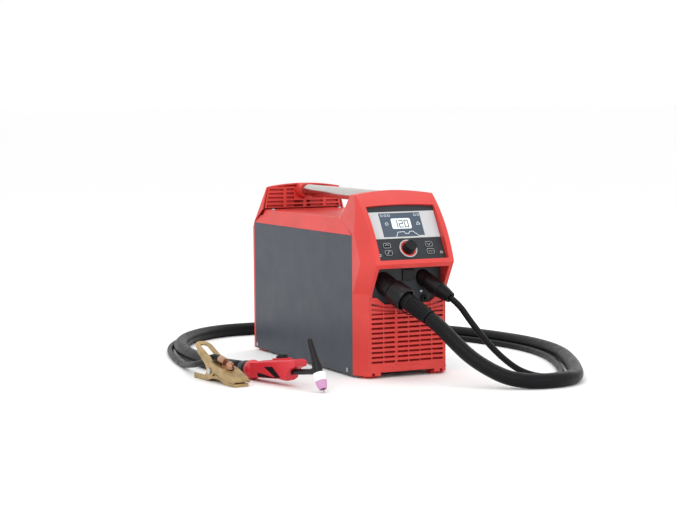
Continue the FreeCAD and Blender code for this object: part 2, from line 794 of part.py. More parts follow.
DECK_SCREWS = [(-80.0, -118.0), (80.0, -118.0), (-80.0, 232.0), (80.0, 232.0)]


def top_deck():
    outer = prism_y(deck_profile(0), -206, 278.6)
    inner = prism_y([(x, z - (0.02 if i in (0, 3) else 0)) for i, (x, z) in enumerate(deck_profile(2.2))],
                    -230, 300)
    shell = outer.cut(inner)
    # the hood's sloping foot is the deck's front edge, and the rear block stands behind
    slope = V(0, PANEL_TOP + GAP - HOOD_FOOT[1], HOOD_FOOT[0] - PANEL_FRONT)
    shell = shell.cut(beyond(V(0, HOOD_FOOT[0] + 0.6, HOOD_FOOT[1]), V(0, slope.y, slope.z).normalize()))
    shell = shell.cut(box(-120, 120, BLOCK_Y - 0.3, 300, 300, 330))
    shell = shell.cut(rear_corner_cut())
    recess = box(-86, 86, -128, BLOCK_Y - 8, DECK_Z - 1.0, DECK_Z + 5)
    shell = shell.cut(recess)
    holes = [cyl(V(x, y, 290), V(0, 0, 1), 2.2, 40) for x, y in DECK_SCREWS]
    return largest(cut_all(shell, holes))


def rear_corner_cut():
    """The rear block's sloping foot: the plane from the panel's corner up to the louvre."""
    a = V(0, PANEL_REAR - 0.6, SIDE_TOP_Z - 2)
    rise = V(0, BLOCK_Y - PANEL_REAR, DECK_Z - SIDE_TOP_Z + 1)
    normal = V(0, rise.z, -rise.y).normalize()
    return beyond(a, normal)


def deck_screws():
    z = DECK_Z - 1.0 + 0.02
    return group([screw(V(x, y, z), V(0, 0, 1), 4.4, 2.6, 2.0, 8.0) for x, y in DECK_SCREWS])


def rear_block(inset, y_front):
    """Body above and behind the deck, with a vertical front and a back that leans forward."""
    top = CROWN_Z + 4
    lean = (REAR_Y - BLOCK_BACK_Y) / (CROWN_Z - SIDE_TOP_Z)
    back_top = BLOCK_BACK_Y - lean * 4 - inset
    profile = [(y_front, DECK_Z + 0.4 + inset), (y_front, top), (back_top, top),
               (REAR_Y - inset, SIDE_TOP_Z), (REAR_Y - inset, PANEL_BOTTOM + inset),
               (PANEL_REAR - inset * 4, PANEL_BOTTOM + inset), (PANEL_REAR - inset * 4, SIDE_TOP_Z + inset)]
    half = HALF_W - inset
    block = prism_x(profile, -half, half)
    a = V(half, 0, SIDE_TOP_Z)
    b = V(half, 50, SIDE_TOP_Z)
    c = V(TOP_HALF - inset, 0, TOP_CORNER_Z)
    normal = plane_normal(a, b, c)
    if normal.x < 0:
        normal = normal * -1
    block = cut_all(block, both_sides(beyond(a, normal)))
    # the triangular facet at each front corner, and the back that turns in above the panel
    tip = V(TOP_HALF - inset, BLOCK_Y, TOP_CORNER_Z)
    foot = V(HALF_W - inset, PANEL_REAR, SIDE_TOP_Z)
    back = V(TOP_HALF - 12 - inset, BLOCK_BACK_Y + 4 - inset, TOP_CORNER_Z)
    normal = plane_normal(tip, foot, back)
    if normal.x < 0:
        normal = normal * -1
    block = cut_all(block, both_sides(beyond(tip, normal)))
    return block.common(crown_bar(-400, 400, 0, inset))


def rear_cover():
    outer = rear_block(0, BLOCK_Y)
    inner = rear_block(WALL, BLOCK_Y - 20)
    body = outer.cut(inner)
    body = body.cut(box(-90, 90, 270, 300, 22, 264))
    body = body.cut(prism_y([(-93, 315), (93, 315), (84, 361.5), (-84, 361.5)], 240, 253.4))
    boss = fuse([cone(V(0, 252, HANDLE_Z), V(0, -1, 0), 18.5, 16.2, 24)])
    boss = boss.fuse(box(-15, 15, 246, 256, HANDLE_Z, 366.5))
    boss = boss.common(crown_bar(-400, 400, 100, 0.2))
    body = body.fuse(boss)
    body = body.cut(cyl(V(0, 200, HANDLE_Z), V(0, 1, 0), HANDLE_R + GAP, 56))
    for foot in both_sides(prism_x([(REAR_Y, 5), (280, 0), (246, 0), (246, 7.8), (REAR_Y, 7.8)], 58, 96)):
        body = body.fuse(foot.cut(group(both_sides(box(64, 90, 254, 276, 5, 13)))))
    body = body.cut(box(-102, 102, 240, 276.4, 7.9, 40))
    return largest(body)


def rear_louvre():
    """Forward-facing louvre insert with four banks of slats, cut round the handle's boss."""
    z0, z1 = 315.3, 361.2
    outline = [(-92.6, z0), (92.6, z0), (83.8, z1), (-83.8, z1)]
    plate = prism_y(outline, BLOCK_Y + 0.2, BLOCK_Y + 3.2)
    slots = []
    rows, pitch, slot = 5, 8.8, 4.8
    banks = [(-88, -47.5), (-40.5, 0.5), (7.5, 48.5), (55.5, 88)]
    for row in range(rows):
        z = z0 + 1.8 + row * pitch
        for x0, x1 in banks:
            lean = (z - z0) * 0.19
            a = max(x0, -88 + lean)
            b = min(x1, 88 - lean)
            beside_boss = z + slot > HANDLE_Z - 21
            if beside_boss and x0 + x1 < 0:
                b = min(b, -22.0)
            if beside_boss and x0 + x1 > 0:
                a = max(a, 22.0)
            slots.append(box(a, b, BLOCK_Y - 5, BLOCK_Y + 9, z, z + slot))
    plate = plate.cut(Part.Compound(slots))
    plate = plate.cut(cyl(V(0, 200, HANDLE_Z), V(0, 1, 0), 18.9, 90))
    plate = plate.cut(box(-15.4, 15.4, 200, 290, HANDLE_Z, 380))
    return largest(plate)


def handle_tube():
    return tube(V(0, HANDLE_FRONT, HANDLE_Z), V(0, 1, 0), HANDLE_R, HANDLE_R - 2.0, 255.0 - HANDLE_FRONT)


def rear_panel():
    plate = box(-89.7, 89.7, 280.5, 283, 22.3, 263.7)
    slots = []
    for i in range(11):
        z = FAN_Z - 50 + i * 9.5
        reach = math.sqrt(max(52.0 ** 2 - (z + 2.5 - FAN_Z) ** 2, 100.0))
        slots.append(box(-reach, -3, 270, 290, z, z + 5))
        slots.append(box(3, reach, 270, 290, z, z + 5))
    slots.append(cyl(V(0, 270, 238), V(0, 1, 0), 9.2, 30))
    slots.append(cyl(V(62, 270, 46), V(0, 1, 0), 12.2, 30))
    slots.append(cyl(V(-62, 270, 46), V(0, 1, 0), 8.2, 30))
    return plate.cut(Part.Compound(slots))


def mains_switch():
    body = cyl(V(0, 284, 238), V(0, -1, 0), 9.0, 30)
    case = box(-18, 18, 250, 276, 222, 254)
    collar = tube(V(0, 283.1, 238), V(0, 1, 0), 20.0, 10.5, 2.4)
    bore = cyl(V(0, 262, 238), V(0, 1, 0), 3.0 + RUNNING, 40)
    return group([fuse([body, case]).cut(bore), collar])


def mains_switch_knob():
    shaft = cyl(V(0, 264, 238), V(0, 1, 0), 3.0, 26)
    disc = cone(V(0, 286, 238), V(0, 1, 0), 15.5, 14.5, 4)
    grip = box(-4, 4, 289, 301, 225, 251)
    return fuse([shaft, disc, grip])


def mains_gland():
    """Strain-relief gland whose bore takes the mains cable."""
    at = V(62, TAIL_Y, 46)
    back = V(0, -1, 0)
    nut = Part.Face(Part.makePolygon([V(62 + 15 * math.cos(a), TAIL_Y - 20, 46 + 15 * math.sin(a))
                                      for a in [math.radians(60 * i) for i in range(7)]])).extrude(V(0, 12, 0))
    dome = cone(at, back, 9.5, 13.0, 9)
    barrel = cyl(at - V(0, 20, 0), back, 12.0, 18)
    flange = cyl(V(62, 283.2, 46), V(0, 1, 0), 16.5, 6)
    body = fuse([nut, dome, barrel, flange])
    return body.cut(cyl(at + V(0, 1, 0), back, 6.5, 60))


def gas_inlet():
    """Male hose connector for the shielding gas, with a hexagon and a through bore."""
    hexagon = Part.Face(Part.makePolygon([V(-62 + 11 * math.cos(a), 283.2, 46 + 11 * math.sin(a))
                                          for a in [math.radians(60 * i + 30) for i in range(7)]]))
    body = fuse([hexagon.extrude(V(0, 6, 0)), cyl(V(-62, 289, 46), V(0, 1, 0), 6.5, 16),
                 cyl(V(-62, 268, 46), V(0, 1, 0), 8.0, 16)])
    return body.cut(cyl(V(-62, 250, 46), V(0, 1, 0), 2.6, 70))


# ---------------------------------------------------------------- inside
def fan_frame():
    y0, y1 = FAN_Y
    frame = box(-60, 60, y0, y1, FAN_Z - 60, FAN_Z + 60)
    frame = frame.cut(cyl(V(0, y0 - 5, FAN_Z), V(0, 1, 0), FAN_R + 1.5, y1 - y0 + 10))
    hub = cyl(V(0, y1 - 5, FAN_Z), V(0, 1, 0), 21, 5)
    arms = [box(-62, 62, y1 - 5, y1, FAN_Z - 3, FAN_Z + 3), box(-3, 3, y1 - 5, y1, FAN_Z - 62, FAN_Z + 62)]
    spider = fuse([hub] + arms).common(box(-60, 60, y0, y1, FAN_Z - 60, FAN_Z + 60))
    body = fuse([frame, spider])
    axle_hole = cyl(V(0, y1 - 30, FAN_Z), V(0, 1, 0), 3.0 + RUNNING, 60)
    return body.cut(axle_hole)


def fan_rotor():
    y0, y1 = FAN_Y
    hub = cyl(V(0, y0 + 3, FAN_Z), V(0, 1, 0), 21, 25)
    axle = cyl(V(0, y0 + 20, FAN_Z), V(0, 1, 0), 3.0, y1 - y0 - 20.5)
    blades = []
    count = 7
    for i in range(count):
        blade = box(18, FAN_R - 1.5, y0 + 5, y0 + 25, -1.1, 1.1)
        blade.rotate(V(0, y0 + 15, 0), V(1, 0, 0), 38)
        blade.translate(V(0, 0, FAN_Z))
        blade.rotate(V(0, 0, FAN_Z), V(0, 1, 0), 360.0 * i / count)
        blades.append(blade)
    rim = cyl(V(0, y0, FAN_Z), V(0, 1, 0), FAN_R, y1 - y0)
    return fuse([hub, axle] + blades).common(rim)


def heat_sink():
    base = box(-48, 48, -40, 170, 104, 112)
    fins = [box(x, x + 2.2, -40, 170, 70, 105) for x in range(-48, 47, 7)]
    return fuse([base] + fins)


def main_transformer():
    """Laminated core with its windings on the middle leg."""
    core = box(-40, 40, 60, 120, 10.4, 60).cut(box(-28, 28, 50, 130, 22, 48))
    winding = box(-27, 27, 46, 134, 23, 47)
    return fuse([core, winding, box(-30, 30, 80, 100, 21, 49)])


def power_board():
    """Circuit board with its row of capacitors."""
    board = box(-70, 70, -60, 190, 116, 118)
    cans = [cyl(V(x, -30 + i * 42, 117), V(0, 0, 1), 17.5, 47) for i in range(4) for x in (-28, 14)]
    return fuse([board] + cans)


def gas_valve():
    body = box(-74, -50, 196, 232, 34, 58)
    coil = cyl(V(-62, 214, 57), V(0, 0, 1), 13, 30)
    return fuse([body, coil])


# ---------------------------------------------------------------- torch
TORCH_FRAME = local_frame(BALL_AT, TORCH_T)


def on_torch(shape):
    return placed(shape, TORCH_FRAME)


def torch_cuff():
    outer = revolve_x([(-CUFF_L, 0), (-CUFF_L, 14.7), (-36, 15.3), (-20, 17.0), (-12, 16.0), (-12, 0)])
    ball = Part.makeSphere(BALL_R + 0.05)
    return placed(largest(outer.cut(ball)), local_frame(BALL_AT, CUFF_T))


def torch_handle():
    """Ball end, waisted grip, lower horn and upper lip."""
    side = [(10, -13), (10, 13), (28, 17), (64, 18), (150, 18), (156, 14), (155, 4), (140, 1),
            (132, -4), (126, -14), (121, -22), (113, -23), (98, -18), (50, -15.5), (26, -14.5)]
    grip = prism([V(x, -15, z) for x, z in side], V(0, 30, 0))
    crown = revolve_x([(0, 0), (0, 21.5), (30, 21.5), (156, 22.5), (160, 0)])
    grip = grip.common(crown.translated(V(0, 0, -1)))
    body = fuse([Part.makeSphere(BALL_R), grip])
    trigger_base = box(78, 118, -8.5, 8.5, 15, 21.5)
    neck_bore = cyl(V(112, 0, NECK_DROP), V(1, 0, 0), 6.1, 60)
    trigger_well = box(87.4, 108.6, -7.0, 7.0, 9, 40)
    return on_torch(fuse([body, trigger_base]).cut(neck_bore).cut(trigger_well))


def torch_trigger():
    key_top = box(88, 108, -6.4, 6.4, 20, 28)
    ramp = beyond(V(98, 0, 28.5), V(-0.35, 0, 1).normalize(), 200)
    stem = box(91, 105, -5, 5, 11.5, 21)
    return on_torch(fuse([key_top.cut(ramp), stem]))


def torch_neck():
    """Tube from the grip to the head, with the head's body across its end."""
    head_local = (HEAD_AT - BALL_AT).Length
    pipe = on_torch(cyl(V(112.5, 0, NECK_DROP), V(1, 0, 0), 5.6, head_local - 114))
    q = V(NOZZLE_DIR).normalize()
    hub = cyl(HEAD_AT - q * 8, q, 9.0, 18.7)
    bridge = cyl(HEAD_AT - TORCH_T * 14 - V(0, 0, 4.4), TORCH_T, 5.8, 14)
    bore = cyl(HEAD_AT - q * 40, q, 3.0, 80)
    return largest(fuse([pipe, hub, bridge]).cut(bore))


def along_nozzle(profile):
    """Turn an (along, radius) outline about the head's axis."""
    return placed(revolve_x(profile), local_frame(HEAD_AT, NOZZLE_DIR, V(0, 1, 0.3)))


def back_cap():
    return along_nozzle([(-8.3, 0), (-8.3, 8.0), (-14, 8.0), (-16, 7.2), (-58, 5.2), (-61, 4.2), (-62, 0)])


def insulator():
    return along_nozzle([(11, 3.2), (11, 12.6), (13, 13.7), (19, 13.4), (27, 11.0), (27, 3.2)])


def ceramic_nozzle():
    return along_nozzle([(27.3, 7.0), (27.3, 10.8), (32, 10.4), (37, 9.2), (42.5, 7.4), (43, 6.9),
                         (43, 5.6), (35, 7.0)])


def electrode():
    return along_nozzle([(-7.9, 0), (-7.9, 2.8), (32, 2.8), (34, 1.25), (47.5, 1.25), (50.9, 0.15), (50.9, 0)])


# ---------------------------------------------------------------- work clamp
CLAMP_FRAME = local_frame(CLAMP_TIP, CLAMP_BACK)


def on_clamp(shape):
    return placed(shape, CLAMP_FRAME)


def flank(points, y0, thick):
    """A side plate, from its outline along and up the clamp."""
    return prism([V(s, y0, z) for s, z in points], V(0, thick, 0))


def strip(points, thick, y0, y1):
    """A bent strip: the outline follows the points and comes back below them."""
    lower = [(s, z - thick) for s, z in reversed(points)]
    return prism([V(s, y0, z) for s, z in points + lower], V(0, y1 - y0, 0))


def clamp_lower_arm():
    web = strip([(165, 3.2), (114, 3.2), (90, 10.5), (60, 10.5), (40, 3.0), (0, 3.0)], 2.8, -15, 15)
    outline = [(165, 0.4), (165, 10.5), (120, 11), (107, 26), (101, 30), (89, 30), (83, 26),
               (76, 16), (48, 10), (28, 6.6), (0, 6.6), (0, 0.2), (40, 0.2), (60, 7.7), (90, 7.7), (114, 0.4)]
    walls = [flank(outline, -15, 2.5), flank(outline, 12.5, 2.5)]
    jaw = box(0, 12, -13, 13, 0.4, 6.6)
    arm = fuse([web, jaw] + walls)
    teeth = [box(2.2 + i * 3.2, 3.6 + i * 3.2, -20, 20, 5.6, 8) for i in range(3)]
    s, z = CLAMP_PIVOT
    hole = cyl(V(s, -30, z), V(0, 1, 0), PIN_R + RUNNING, 60)
    return on_clamp(cut_all(arm, teeth + [hole]))


UPPER_LINE = [(165, 72.5), (94, 40), (45, 31), (12, 19), (0, 12.4)]


def clamp_upper_arm():
    plate = strip(UPPER_LINE, 3.0, -18, 18)
    loop_end = cyl(V(147, 0, 0), V(0, 0, 1), 18, 120)
    keep = fuse([loop_end, box(-5, 147, -18, 18, 0, 120)])
    plate = plate.common(keep)
    outline = [(146, 62), (94, 39), (45, 30), (12, 18), (0, 11.4), (0, 8.0), (28, 8.2), (50, 13), (78, 20),
               (85, 13), (95, 11), (105, 14), (112, 32), (146, 55)]
    walls = [flank(outline, -18, 2.5), flank(outline, 15.5, 2.5)]
    arm = fuse([plate] + walls)
    slot = fuse([box(100, 148, -7.2, 7.2, 20, 120), cyl(V(100, 0, 20), V(0, 0, 1), 7.2, 100),
                 cyl(V(148, 0, 20), V(0, 0, 1), 7.2, 100)])
    window = box(64, 76, -5, 5, 20, 60)
    s, z = CLAMP_PIVOT
    hole = cyl(V(s, -30, z), V(0, 1, 0), PIN_R + RUNNING, 60)
    bolt = cyl(V(46, 0, 10), V(0, 0, 1), 4.9, 60)
    return on_clamp(cut_all(arm, [slot, hole, bolt, window]))


def clamp_pin():
    """Pivot pin with a rolled head on each end, and the spring coiled round it."""
    s, z = CLAMP_PIVOT
    pin = cyl(V(s, -19.4, z), V(0, 1, 0), PIN_R, 38.8)
    heads = [cyl(V(s, -20.6, z), V(0, 1, 0), 6.0, 2.3), cyl(V(s, 18.3, z), V(0, 1, 0), 6.0, 2.3)]
    coils = [Part.makeTorus(4.6, 1.3, V(s, -7.0 + i * 2.8, z), V(0, 1, 0)) for i in range(6)]
    return on_clamp(fuse([pin] + heads + coils))


# the upper arm's jaw plate: origin under the bolt, X along the plate to the handles, Z out of it
JAW_SLOPE = math.degrees(math.atan2(40 - 31, 94 - 45))
JAW_TILT = FreeCAD.Placement(V(46, 0, 31.2), FreeCAD.Rotation(V(0, 1, 0), -JAW_SLOPE))
JAW_FRAME = CLAMP_FRAME.multiply(JAW_TILT)
BARREL_AT = V(16, 0, 7.8)
BARREL_L = 22.0
BARREL_END = JAW_FRAME.multVec(BARREL_AT + V(BARREL_L, 0, 0))
BARREL_DIR = JAW_FRAME.Rotation.multVec(V(1, 0, 0))


def on_upper(shape):
    return placed(shape, JAW_FRAME)


def clamp_lug():
    """Cable lug with a crimped barrel, and the bolt, washer and nut that hold its palm."""
    palm = fuse([cyl(V(0, 0, 0.1), V(0, 0, 1), 9, 2.6), box(0, 18, -7.5, 7.5, 0.1, 2.7)])
    barrel = cyl(BARREL_AT, V(1, 0, 0), 7.6, BARREL_L)
    stem = cyl(V(0, 0, -8), V(0, 0, 1), 4.0, 21)
    head = cyl(V(0, 0, -8.2), V(0, 0, 1), 6.5, 4.0)
    washer = cyl(V(0, 0, 2.8), V(0, 0, 1), 8.4, 1.4)
    nut = Part.Face(Part.makePolygon([V(7.4 * math.cos(a), 7.4 * math.sin(a), 4.2)
                                      for a in [math.radians(60 * i) for i in range(7)]])).extrude(V(0, 0, 6))
    return on_upper(fuse([palm, barrel, stem, head, washer, nut]))


# ---------------------------------------------------------------- cords in place
def torch_hose():
    return cord_tube("torch_hose", HOSE_ROUTE, HOSE_D)


TAIL_BEND = BARREL_END + BARREL_DIR * 25.0
LAST_RUN = (TAIL_BEND - CABLE_ROUTE[-1]).normalize()


def work_cable():
    return cord_tube("work_cable", CABLE_ROUTE + [CABLE_ROUTE[-1] + LAST_RUN * TAIL_START], CABLE_D)


def work_cable_tail():
    start = CABLE_ROUTE[-1] + LAST_RUN * (TAIL_START + TAIL_GAP)
    return cord_tube("work_cable_tail", [start, TAIL_BEND, BARREL_END], CABLE_D)


# ---------------------------------------------------------------- everything
NODES = {
    "base_chassis": base_chassis,
    "side_panel_left": lambda: side_panel(-1),
    "side_panel_right": lambda: side_panel(1),
    "side_screws": side_screws,
    "front_cover": front_cover,
    "front_grille": front_grille,
    "connector_panel": connector_panel,
    "torch_socket": torch_socket,
    "work_socket": work_socket,
    "remote_socket": remote_socket,
    "remote_cap": remote_cap,
    "gas_socket": gas_socket,
    "control_fascia": control_fascia,
    "silver_band": silver_band,
    "display_window": display_window,
    "control_board": control_board,
    "knob_ring": knob_ring,
    "knob_light_ring": knob_light_ring,
    "encoder_body": encoder_body,
    "encoder_plunger": encoder_plunger,
    "adjusting_knob": adjusting_knob,
    "key_1": lambda: key(*KEY_AT[0]),
    "key_2": lambda: key(*KEY_AT[1]),
    "key_3": lambda: key(*KEY_AT[2]),
    "key_4": lambda: key(*KEY_AT[3]),
    "top_deck": top_deck,
    "deck_screws": deck_screws,
    "rear_cover": rear_cover,
    "rear_louvre": rear_louvre,
    "rear_panel": rear_panel,
    "handle_tube": handle_tube,
    "mains_switch": mains_switch,
    "mains_switch_knob": mains_switch_knob,
    "mains_gland": mains_gland,
    "gas_inlet": gas_inlet,
    "fan_frame": fan_frame,
    "fan_rotor": fan_rotor,
    "heat_sink": heat_sink,
    "main_transformer": main_transformer,
    "power_board": power_board,
    "gas_valve": gas_valve,
    "torch_plug": torch_plug,
    "torch_plug_boot": torch_plug_boot,
    "torch_hose": torch_hose,
    "torch_cuff": torch_cuff,
    "torch_handle": torch_handle,
    "torch_trigger": torch_trigger,
    "torch_neck": torch_neck,
    "back_cap": back_cap,
    "insulator": insulator,
    "ceramic_nozzle": ceramic_nozzle,
    "electrode": electrode,
    "work_plug": work_plug,
    "work_plug_sleeve": work_plug_sleeve,
    "work_cable": work_cable,
    "work_cable_tail": work_cable_tail,
    "clamp_upper_arm": clamp_upper_arm,
    "clamp_lower_arm": clamp_lower_arm,
    "clamp_pin": clamp_pin,
    "clamp_lug": clamp_lug,
}


def export(name, shape):
    shape = shape.copy()
    shape.translate(V(0, SHIFT_Y, 0))
    shape.exportStep(os.path.join("parts", name + ".step"))


os.makedirs("parts", exist_ok=True)
for node_name, make in NODES.items():
    export(node_name, make())
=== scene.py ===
"""Looks of a portable TIG welding power source with its torch and work clamp.

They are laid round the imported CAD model, in its own frame."""

import json
import math

import bmesh
import bpy
from mathutils import Matrix, Vector

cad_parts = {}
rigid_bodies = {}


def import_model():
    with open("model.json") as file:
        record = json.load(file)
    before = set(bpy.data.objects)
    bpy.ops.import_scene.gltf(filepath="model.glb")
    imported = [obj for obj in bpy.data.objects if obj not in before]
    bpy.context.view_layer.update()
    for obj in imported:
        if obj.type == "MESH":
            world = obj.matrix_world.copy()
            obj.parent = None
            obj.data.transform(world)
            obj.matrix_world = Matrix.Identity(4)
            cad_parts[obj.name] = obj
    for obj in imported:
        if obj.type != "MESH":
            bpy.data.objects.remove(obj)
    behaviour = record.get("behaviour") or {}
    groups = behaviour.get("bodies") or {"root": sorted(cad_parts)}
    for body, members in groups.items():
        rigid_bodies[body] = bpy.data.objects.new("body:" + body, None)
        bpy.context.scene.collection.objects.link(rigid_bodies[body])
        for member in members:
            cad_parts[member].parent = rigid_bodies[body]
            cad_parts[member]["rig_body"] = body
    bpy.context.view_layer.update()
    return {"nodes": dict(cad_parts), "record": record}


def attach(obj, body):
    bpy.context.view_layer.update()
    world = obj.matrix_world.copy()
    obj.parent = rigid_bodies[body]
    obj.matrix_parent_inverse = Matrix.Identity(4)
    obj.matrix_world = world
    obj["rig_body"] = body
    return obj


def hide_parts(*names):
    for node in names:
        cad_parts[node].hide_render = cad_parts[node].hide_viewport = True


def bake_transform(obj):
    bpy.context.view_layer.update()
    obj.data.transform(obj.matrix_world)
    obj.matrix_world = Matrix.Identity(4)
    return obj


MM = 0.001
SHIFT_Y = -15.0        # the CAD centres the case with its rear fittings, so the machine sits this far forward
UNIT = "unit"
HOSE_D = 29.0
CABLE_D = 12.5
FLOOR_GAP = 0.3
HZ = HOSE_D / 2 + FLOOR_GAP
CZ = CABLE_D / 2 + FLOOR_GAP


def at(x, y, z):
    """A point of the machine, from millimetres to the row frame."""
    return Vector((x, y + SHIFT_Y, z)) * MM


# ---------------------------------------------------------------- node helpers
class Nodes:
    """A small builder for one material's node tree."""

    def __init__(self, name):
        self.material = bpy.data.materials.new(name)
        self.material.use_nodes = True
        self.tree = self.material.node_tree
        self.tree.nodes.clear()
        self.output = self.add("ShaderNodeOutputMaterial")
        self.shader = self.add("ShaderNodeBsdfPrincipled")
        self.link(self.shader.outputs["BSDF"], self.output.inputs["Surface"])
        self.place = self.add("ShaderNodeTexCoord").outputs["Object"]

    def add(self, kind, **settings):
        node = self.tree.nodes.new(kind)
        for key, value in settings.items():
            setattr(node, key, value)
        return node

    def link(self, source, target):
        self.tree.links.new(source, target)

    def set(self, **values):
        for key, value in values.items():
            self.shader.inputs[key.replace("_", " ")].default_value = value

    def mapping(self, scale):
        node = self.add("ShaderNodeMapping")
        node.inputs["Scale"].default_value = scale
        self.link(self.place, node.inputs["Vector"])
        return node.outputs["Vector"]

    def noise(self, scale, detail=3.0, roughness=0.5, vector=None):
        node = self.add("ShaderNodeTexNoise")
        node.inputs["Scale"].default_value = scale
        node.inputs["Detail"].default_value = detail
        node.inputs["Roughness"].default_value = roughness
        self.link(vector or self.place, node.inputs["Vector"])
        return node.outputs["Fac"]

    def ramp(self, factor, stops):
        node = self.add("ShaderNodeValToRGB")
        elements = node.color_ramp.elements
        while len(elements) < len(stops):
            elements.new(0.5)
        for element, (position, colour) in zip(elements, stops):
            element.position = position
            element.color = (*colour, 1.0)
        self.link(factor, node.inputs["Fac"])
        return node.outputs["Color"]

    def span(self, factor, low, high):
        """A 0 to 1 value stretched to a range."""
        node = self.add("ShaderNodeMapRange")
        node.inputs["From Min"].default_value = 0.3
        node.inputs["From Max"].default_value = 0.7
        node.inputs["To Min"].default_value = low
        node.inputs["To Max"].default_value = high
        self.link(factor, node.inputs["Value"])
        return node.outputs["Result"]

    def colour(self, socket):
        self.link(socket, self.shader.inputs["Base Color"])

    def roughness(self, socket):
        self.link(socket, self.shader.inputs["Roughness"])

    def bump(self, heights):
        """Stack bumps: each is (height socket, distance in metres, strength)."""
        normal = None
        for height, distance, strength in heights:
            node = self.add("ShaderNodeBump")
            node.inputs["Distance"].default_value = distance
            node.inputs["Strength"].default_value = strength
            self.link(height, node.inputs["Height"])
            if normal is not None:
                self.link(normal, node.inputs["Normal"])
            normal = node.outputs["Normal"]
        self.link(normal, self.shader.inputs["Normal"])


def shade(colour, factor):
    """A colour made darker or lighter."""
    return tuple(min(1.0, c * factor) for c in colour)


def moulded(name, colour, rough=0.42, grain=0.00004, specular=0.5):
    """Moulded plastic: fine spark-eroded grain, and slight flow marks in its colour."""
    n = Nodes(name)
    flow = n.noise(14, 4)
    n.colour(n.ramp(flow, [(0.3, shade(colour, 0.93)), (0.7, shade(colour, 1.07))]))
    n.roughness(n.span(n.noise(60, 5), rough - 0.05, rough + 0.06))
    n.bump([(n.noise(2600, 2), grain, 0.5), (n.noise(420, 3), grain * 0.8, 0.25)])
    n.set(Specular_IOR_Level=specular)
    return n.material


def powder_coat(name, colour, rough=0.4):
    """Powder-coated sheet: orange peel and a fine sparkle of darker grains."""
    n = Nodes(name)
    grains = n.noise(3200, 2)
    n.colour(n.ramp(grains, [(0.35, shade(colour, 0.86)), (0.65, shade(colour, 1.12))]))
    n.roughness(n.span(n.noise(25, 4), rough - 0.04, rough + 0.05))
    n.bump([(n.noise(700, 2), 0.00005, 0.35), (n.noise(2600, 2), 0.00002, 0.3)])
    n.set(Coat_Weight=0.1, Coat_Roughness=0.3, Specular_IOR_Level=0.35)
    return n.material


def metal(name, colour, rough=0.3, stretch=(1.0, 1.0, 1.0), scale=900, lines=0.00001, stains=0.08):
    """Bare metal with drawing lines along one way and faint stains."""
    n = Nodes(name)
    draw = n.noise(scale, 4, 0.6, n.mapping(stretch))
    n.colour(n.ramp(n.noise(45, 5), [(0.3, shade(colour, 1 - stains)), (0.7, shade(colour, 1 + stains))]))
    n.roughness(n.span(draw, rough - 0.08, rough + 0.1))
    n.bump([(draw, lines, 0.5)])
    n.set(Metallic=1.0)
    return n.material


def rubber(name, colour, rough=0.42):
    """Smooth black jacket with faint scuffs and a fine grain."""
    n = Nodes(name)
    scuff = n.noise(38, 6, 0.65)
    n.colour(n.ramp(scuff, [(0.35, shade(colour, 0.8)), (0.75, shade(colour, 1.35))]))
    n.roughness(n.span(n.noise(90, 5), rough - 0.07, rough + 0.09))
    n.bump([(n.noise(1500, 3), 0.00004, 0.4), (n.noise(120, 3), 0.00012, 0.2)])
    n.set(Specular_IOR_Level=0.16)
    return n.material


def glowing(name, colour, strength):
    """Lit part of the display: a faint pixel grid over an even glow."""
    n = Nodes(name)
    cells = n.add("ShaderNodeTexVoronoi", feature="F1", distance="CHEBYCHEV")
    cells.inputs["Scale"].default_value = 2600
    cells.inputs["Randomness"].default_value = 0.0
    n.link(n.place, cells.inputs["Vector"])
    grid = n.ramp(cells.outputs["Distance"], [(0.5, colour), (1.0, shade(colour, 0.75))])
    n.colour(grid)
    n.link(grid, n.shader.inputs["Emission Color"])
    n.set(Emission_Strength=strength, Roughness=0.25)
    return n.material


# ---------------------------------------------------------------- stage, light and camera
def stage_floor():
    """Wide plain white floor."""
    mesh = bpy.data.meshes.new("floor")
    half = 400.0
    corners = [(-half, -half, 0), (half, -half, 0), (half, half, 0), (-half, half, 0)]
    mesh.from_pydata(corners, [], [(0, 1, 2, 3)])
    floor = bpy.data.objects.new("floor", mesh)
    bpy.context.scene.collection.objects.link(floor)
    n = Nodes("floor_white")
    n.set(Base_Color=(0.96, 0.96, 0.96, 1.0), Roughness=0.7, Specular_IOR_Level=0.1)
    mesh.materials.append(n.material)


def area_light(name, place, aim, size, power):
    """A white rectangle of light that faces a point."""
    data = bpy.data.lights.new(name, "AREA")
    data.shape = "RECTANGLE"
    data.size, data.size_y = size
    data.energy = power
    light = bpy.data.objects.new(name, data)
    light.location = place
    light.rotation_euler = (Vector(aim) - Vector(place)).to_track_quat("-Z", "Y").to_euler()
    bpy.context.scene.collection.objects.link(light)


def stage_lights():
    world = bpy.data.worlds.new("studio")
    world.use_nodes = True
    background = world.node_tree.nodes["Background"]
    background.inputs["Color"].default_value = (1.0, 1.0, 1.0, 1.0)
    background.inputs["Strength"].default_value = 1.03
    bpy.context.scene.world = world
    middle = (0, 0, 0.2)
    area_light("key", (-2.2, -2.4, 2.6), middle, (2.2, 2.2), 30)
    area_light("front", (1.0, -3.6, 1.5), middle, (2.0, 1.2), 14)
    area_light("top", (0.2, 0.4, 3.0), middle, (2.6, 2.6), 18)
    area_light("rim", (2.8, 1.6, 1.8), middle, (1.4, 1.8), 12)
    bpy.context.scene.view_settings.view_transform = "Standard"


